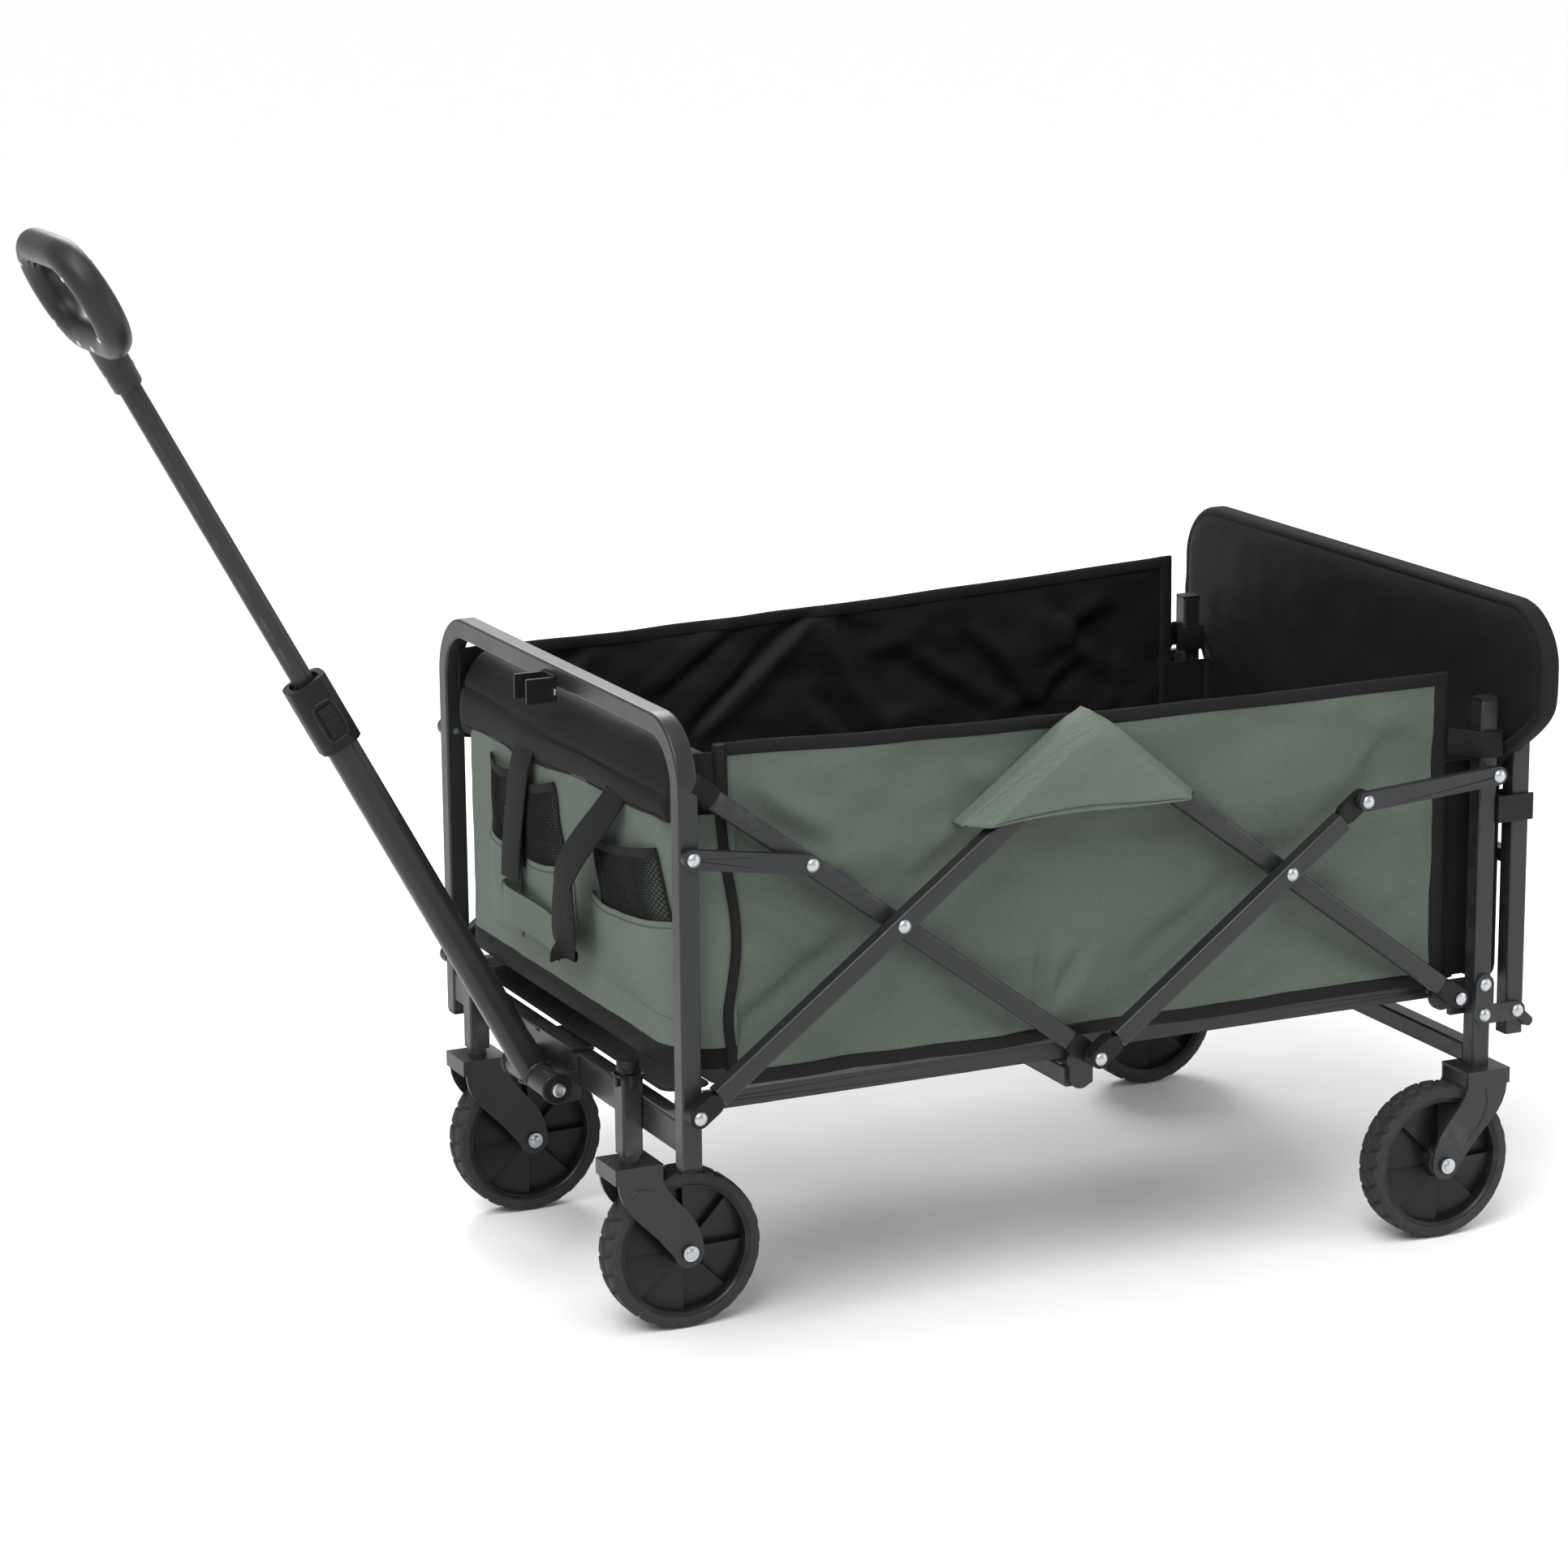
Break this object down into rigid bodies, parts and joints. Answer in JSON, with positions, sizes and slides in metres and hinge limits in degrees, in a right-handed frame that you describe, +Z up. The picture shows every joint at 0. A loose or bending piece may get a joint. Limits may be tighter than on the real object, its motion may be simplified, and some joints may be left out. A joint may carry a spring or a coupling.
{
  "type": "folding wagon",
  "caption": "Folding fabric wagon with a scissor tube frame, swivel front casters, drop-down tailgate and a leaning telescopic pull handle.",
  "frame": {"origin": "on the ground, under the middle of the overall length and width, with the handle leaning forward and extended", "axes": "+Z up, +X towards the tailgate, so the handle end points to -X; +Y is the right side of a wagon that travels to -X"},
  "size_m": [1.3587, 0.644, 1.0081],
  "materials": {
    "frame_steel": "satin charcoal powder coat on square steel tube",
    "black_plastic": "moulded black nylon, fine satin texture",
    "rivet_steel": "zinc-plated rivets, bolts and axle heads",
    "sage_fabric": "sage green coated polyester plain weave",
    "black_fabric": "black polyester lining, webbing and padding",
    "tyre_rubber": "charcoal rubber tread",
    "grip_rubber": "soft-touch black grip"
  },
  "bodies": {
    "front_frame": {"front_hoop": "frame_steel", "front_crossbeam": "frame_steel", "front_frame_pins": "rivet_steel", "caster_housings": "frame_steel", "front_tube_caps": "black_plastic", "handle_bracket": "frame_steel", "handle_bolt": "rivet_steel", "handle_clip": "black_plastic", "front_wall": "sage_fabric", "front_pockets": "sage_fabric", "side_wall_left": "sage_fabric", "side_wall_right": "sage_fabric", "front_floor_edge": "black_fabric"},
    "front_outer_arm_pair": {"front_outer_arms": "frame_steel", "front_outer_arm_ends": "black_plastic", "front_outer_arm_rivets": "rivet_steel"},
    "front_inner_arm_pair": {"front_inner_arms": "frame_steel", "front_inner_arm_ends": "black_plastic", "front_sleeve": "black_fabric", "centre_rivets": "rivet_steel"},
    "rear_inner_arm_pair": {"rear_inner_arms": "frame_steel", "rear_inner_arm_ends": "black_plastic", "rear_inner_arm_rivets": "rivet_steel"},
    "rear_outer_arm_pair": {"rear_outer_arms": "frame_steel", "rear_outer_arm_ends": "black_plastic"},
    "front_link_pair": {"front_links": "frame_steel", "front_link_rivets": "rivet_steel"},
    "rear_link_pair": {"rear_links": "frame_steel", "rear_link_rivets": "rivet_steel"},
    "centre_foot": {"centre_support": "frame_steel", "floor_centre": "black_fabric"},
    "front_floor": {"front_rails": "frame_steel", "floor_front": "black_fabric"},
    "rear_floor": {"rear_rails": "frame_steel", "floor_rear": "black_fabric"},
    "rear_frame": {"rear_posts": "frame_steel", "rear_post_caps": "black_plastic", "rear_frame_pins": "rivet_steel", "rear_arm_brackets": "frame_steel", "rear_forks": "frame_steel", "gate_hinge_plates": "frame_steel", "gate_clips": "black_plastic", "rear_floor_edge": "black_fabric"},
    "tailgate": {"gate_frame": "frame_steel", "gate_panel": "black_fabric"},
    "caster_left": {"caster_fork_left": "frame_steel"},
    "caster_right": {"caster_fork_right": "frame_steel"},
    "wheel_front_left": {"rim_front_left": "black_plastic", "tyre_front_left": "tyre_rubber"},
    "wheel_front_right": {"rim_front_right": "black_plastic", "tyre_front_right": "tyre_rubber"},
    "wheel_rear_left": {"rim_rear_left": "black_plastic", "tyre_rear_left": "tyre_rubber"},
    "wheel_rear_right": {"rim_rear_right": "black_plastic", "tyre_rear_right": "tyre_rubber"},
    "handle": {"handle_tube": "frame_steel", "handle_collar": "black_plastic"},
    "collar_button": {"collar_button": "black_plastic"},
    "handle_inner": {"handle_slide": "frame_steel", "handle_grip": "grip_rubber"}
  },
  "joints": [
    {"name": "fold", "type": "hinge", "parent": "front_frame", "child": "front_outer_arm_pair", "pos_m": [-0.20291, 0, 0.233], "axis": [0, -1, 0], "range_deg": [0, 41], "deforming": ["side_wall_left", "side_wall_right"]},
    {"name": "front_cross_pivot", "type": "hinge", "parent": "front_outer_arm_pair", "child": "front_inner_arm_pair", "pos_m": [-0.00291, 0, 0.383], "axis": [0, -1, 0], "range_deg": [-82, 0]},
    {"name": "top_pivot", "type": "hinge", "parent": "front_outer_arm_pair", "child": "rear_inner_arm_pair", "pos_m": [0.19709, 0, 0.533], "axis": [0, -1, 0], "range_deg": [-82, 0]},
    {"name": "rear_cross_pivot", "type": "hinge", "parent": "rear_inner_arm_pair", "child": "rear_outer_arm_pair", "pos_m": [0.39709, 0, 0.383], "axis": [0, -1, 0], "range_deg": [0, 82]},
    {"name": "rear_foot_pivot", "type": "hinge", "parent": "rear_inner_arm_pair", "child": "rear_frame", "pos_m": [0.59709, 0, 0.233], "axis": [0, -1, 0], "range_deg": [0, 41]},
    {"name": "centre_foot_pivot", "type": "hinge", "parent": "front_inner_arm_pair", "child": "centre_foot", "pos_m": [0.19709, 0, 0.233], "axis": [0, -1, 0], "range_deg": [0, 41]},
    {"name": "front_link_pivot", "type": "hinge", "parent": "front_frame", "child": "front_link_pair", "pos_m": [-0.20291, 0, 0.465], "axis": [0, -1, 0], "range_deg": [0, 84.5]},
    {"name": "rear_link_pivot", "type": "hinge", "parent": "rear_frame", "child": "rear_link_pair", "pos_m": [0.62109, 0, 0.452], "axis": [0, -1, 0], "range_deg": [-69.4, 0]},
    {"name": "front_floor_pivot", "type": "hinge", "parent": "front_frame", "child": "front_floor", "pos_m": [-0.19441, 0, 0.2313], "axis": [0, -1, 0], "range_deg": [0, 84.1]},
    {"name": "rear_floor_pivot", "type": "hinge", "parent": "rear_frame", "child": "rear_floor", "pos_m": [0.58859, 0, 0.2313], "axis": [0, -1, 0], "range_deg": [-84.1, 0]},
    {"name": "tailgate_hinge", "type": "hinge", "parent": "rear_frame", "child": "tailgate", "pos_m": [0.65809, 0, 0.215], "axis": [0, 1, 0], "range_deg": [0, 90]},
    {"name": "handle_tilt", "type": "hinge", "parent": "front_frame", "child": "handle", "pos_m": [-0.23491, 0, 0.1945], "axis": [0, -1, 0], "range_deg": [-28.5, 60]},
    {"name": "handle_telescope", "type": "slide", "parent": "handle", "child": "handle_inner", "axis": [-0.4772, 0, 0.8788], "range_m": [-0.31, 0]},
    {"name": "collar_button_press", "type": "slide", "parent": "handle", "child": "collar_button", "axis": [0, 1, 0], "range_m": [0, 0.002], "stiffness_N_per_m": 600, "springref_m": -0.001},
    {"name": "caster_swivel_left", "type": "hinge", "parent": "front_frame", "child": "caster_left", "pos_m": [-0.22091, -0.186, 0.165], "axis": [0, 0, 1], "continuous": true},
    {"name": "front_wheel_spin_left", "type": "hinge", "parent": "caster_left", "child": "wheel_front_left", "pos_m": [-0.17291, -0.186, 0.075], "axis": [0, 1, 0], "continuous": true},
    {"name": "rear_wheel_spin_left", "type": "hinge", "parent": "rear_frame", "child": "wheel_rear_left", "pos_m": [0.57509, -0.279, 0.075], "axis": [0, 1, 0], "continuous": true},
    {"name": "caster_swivel_right", "type": "hinge", "parent": "front_frame", "child": "caster_right", "pos_m": [-0.22091, 0.186, 0.165], "axis": [0, 0, 1], "continuous": true},
    {"name": "front_wheel_spin_right", "type": "hinge", "parent": "caster_right", "child": "wheel_front_right", "pos_m": [-0.17291, 0.186, 0.075], "axis": [0, 1, 0], "continuous": true},
    {"name": "rear_wheel_spin_right", "type": "hinge", "parent": "rear_frame", "child": "wheel_rear_right", "pos_m": [0.57509, 0.279, 0.075], "axis": [0, 1, 0], "continuous": true}
  ],
  "couplings": [
    {"joint": "front_cross_pivot", "follows": "fold", "ratio": -2},
    {"joint": "top_pivot", "follows": "fold", "ratio": -2},
    {"joint": "rear_cross_pivot", "follows": "fold", "ratio": 2},
    {"joint": "rear_foot_pivot", "follows": "fold", "ratio": 1},
    {"joint": "centre_foot_pivot", "follows": "fold", "ratio": 1},
    {"joint": "front_link_pivot", "follows": "fold", "ratio": 2.058},
    {"joint": "rear_link_pivot", "follows": "fold", "ratio": -1.69},
    {"joint": "front_floor_pivot", "follows": "fold", "ratio": 2.05},
    {"joint": "rear_floor_pivot", "follows": "fold", "ratio": -2.05}
  ]
}
